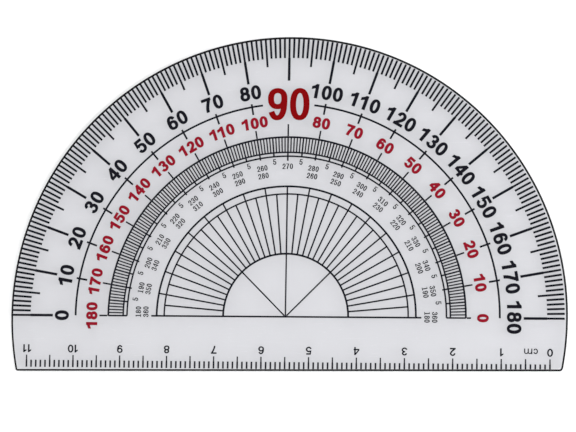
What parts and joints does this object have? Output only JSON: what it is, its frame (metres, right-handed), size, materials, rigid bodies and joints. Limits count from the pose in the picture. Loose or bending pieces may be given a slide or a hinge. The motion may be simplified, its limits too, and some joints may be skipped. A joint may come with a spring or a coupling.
{
  "type": "protractor",
  "caption": "Flat clear plastic protractor, a circle segment just over a half, with black and red degree scales and a ruler along its straight edge.",
  "frame": {"origin": "centre of the round rim, on the back face that lies on the paper", "axes": "+X along the straight ruling edge towards the ruler's zero, +Y across the plate towards the 90 degree mark, +Z out of the printed face"},
  "size_m": [0.1172, 0.0701, 0.0016],
  "materials": {
    "clear_plastic": "clear, faintly grey moulded plastic with a smooth polished face",
    "black_ink": "thin screen-printed black ink, satin",
    "red_ink": "thin screen-printed deep red ink, satin"
  },
  "bodies": {
    "root": {"plate": "clear_plastic", "outer_degree_ticks": "black_ink", "outer_degree_numerals": "black_ink", "middle_arc": "black_ink", "pointer_stubs": "black_ink", "degree_band": "black_ink", "five_degree_numerals": "black_ink", "reflex_numerals_outer": "black_ink", "reflex_numerals_inner": "black_ink", "radial_fan": "black_ink", "ruler_ticks": "black_ink", "ruler_numerals": "black_ink", "unit_mark": "black_ink", "inner_degree_numerals": "red_ink", "ninety_numeral": "red_ink"}
  },
  "joints": []
}
